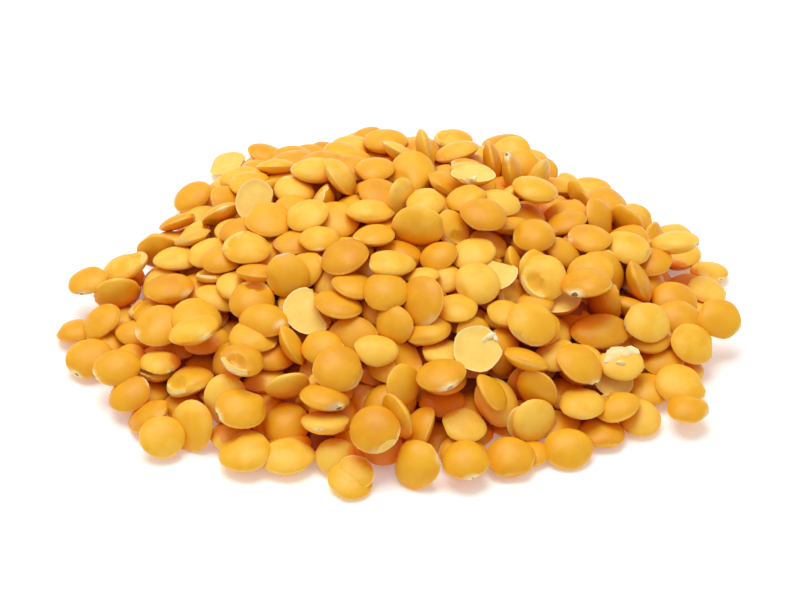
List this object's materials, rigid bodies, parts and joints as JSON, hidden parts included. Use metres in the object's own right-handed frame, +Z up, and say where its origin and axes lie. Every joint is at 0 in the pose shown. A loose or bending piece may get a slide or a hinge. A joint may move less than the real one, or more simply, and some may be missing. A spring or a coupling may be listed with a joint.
{
  "type": "heap of dry husked yellow lentils",
  "caption": "Loose low heap of dry husked yellow lentils, uneven in outline, resting on a flat surface.",
  "frame": {"origin": "on the surface that the heap lies on, under the middle of its bounding box", "axes": "+X along the heap's long side, -Y towards its front, +Z up"},
  "size_m": [0.0774, 0.0683, 0.0152],
  "materials": {
    "dry_lentil": "satin, faintly waxy"
  },
  "bodies": {
    "root": {"lentil_heap": "dry_lentil"}
  },
  "joints": []
}
